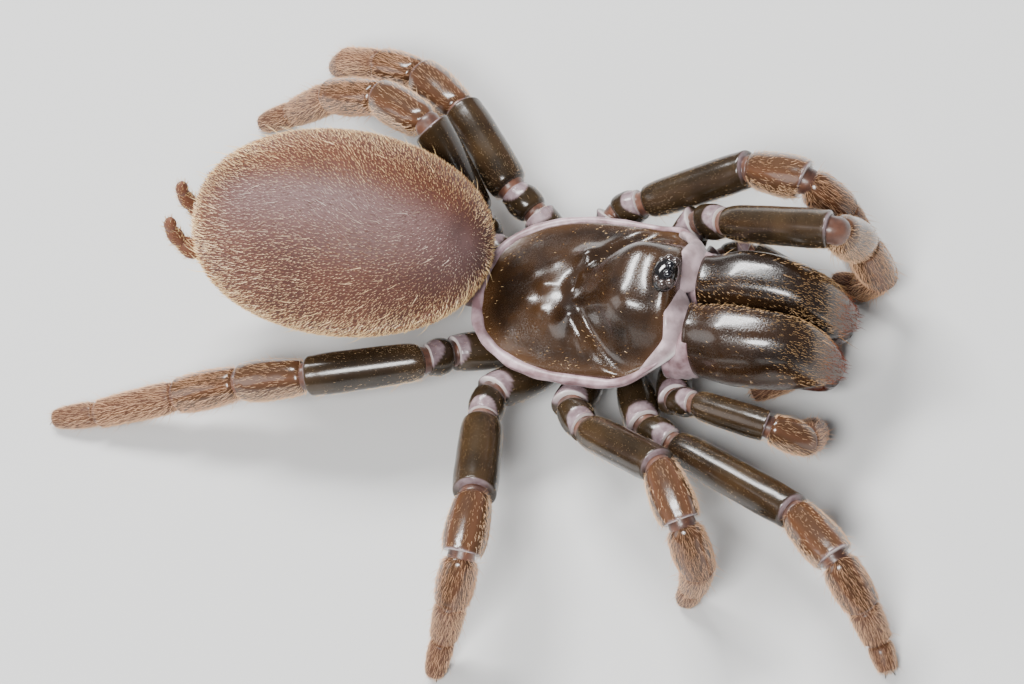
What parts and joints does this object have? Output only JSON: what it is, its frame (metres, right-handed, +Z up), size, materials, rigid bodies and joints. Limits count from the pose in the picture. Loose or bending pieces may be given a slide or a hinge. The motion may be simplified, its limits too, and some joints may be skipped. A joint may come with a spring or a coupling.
{
  "type": "karschs purseweb spider",
  "caption": "Purseweb spider, a still life-size model: domed shield, huge forward jaws, egg-shaped abdomen, stout jointed legs spread in a walking stance.",
  "frame": {"origin": "on the floor, under the middle of the bounding box of the whole spider", "axes": "+X towards the head, +Y to the spider's left, +Z up"},
  "size_m": [0.0264, 0.0194, 0.0072],
  "materials": {
    "shell": "glossy brown chitin",
    "jaw": "high gloss dark chitin",
    "abdomen_skin": "velvety skin with short setae",
    "leg_shell": "glossy brown chitin with setae",
    "leg_fur": "dense short orange-brown setae",
    "soft_skin": "smooth matt membrane",
    "eye": "polished black"
  },
  "bodies": {
    "root": {"abdomen": "abdomen_skin", "carapace": "shell", "chelicera_left": "jaw", "chelicera_right": "jaw", "eyes": "eye", "fang_left": "jaw", "fang_right": "jaw", "leg_1_left_coxa": "leg_shell", "leg_1_left_femur": "leg_shell", "leg_1_left_tarsus": "leg_fur", "leg_1_left_tibia": "leg_shell", "leg_1_right_coxa": "leg_shell", "leg_1_right_femur": "leg_shell", "leg_1_right_tarsus": "leg_fur", "leg_1_right_tibia": "leg_shell", "leg_2_left_coxa": "leg_shell", "leg_2_left_femur": "leg_shell", "leg_2_left_tarsus": "leg_fur", "leg_2_left_tibia": "leg_shell", "leg_2_right_coxa": "leg_shell", "leg_2_right_femur": "leg_shell", "leg_2_right_tarsus": "leg_fur", "leg_2_right_tibia": "leg_shell", "leg_3_left_coxa": "leg_shell", "leg_3_left_femur": "leg_shell", "leg_3_left_tarsus": "leg_fur", "leg_3_left_tibia": "leg_shell", "leg_3_right_coxa": "leg_shell", "leg_3_right_femur": "leg_shell", "leg_3_right_tarsus": "leg_fur", "leg_3_right_tibia": "leg_shell", "leg_4_left_coxa": "leg_shell", "leg_4_left_femur": "leg_shell", "leg_4_left_tarsus": "leg_fur", "leg_4_left_tibia": "leg_shell", "leg_4_right_coxa": "leg_shell", "leg_4_right_femur": "leg_shell", "leg_4_right_tarsus": "leg_fur", "leg_4_right_tibia": "leg_shell", "palp_left_coxa": "leg_shell", "palp_left_femur": "leg_shell", "palp_left_tarsus": "leg_fur", "palp_left_tibia": "leg_shell", "palp_right_coxa": "leg_shell", "palp_right_femur": "leg_shell", "palp_right_tarsus": "leg_fur", "palp_right_tibia": "leg_shell", "pedicel": "soft_skin", "spinneret_left": "abdomen_skin", "spinneret_right": "abdomen_skin", "sternum": "leg_shell"}
  },
  "joints": []
}
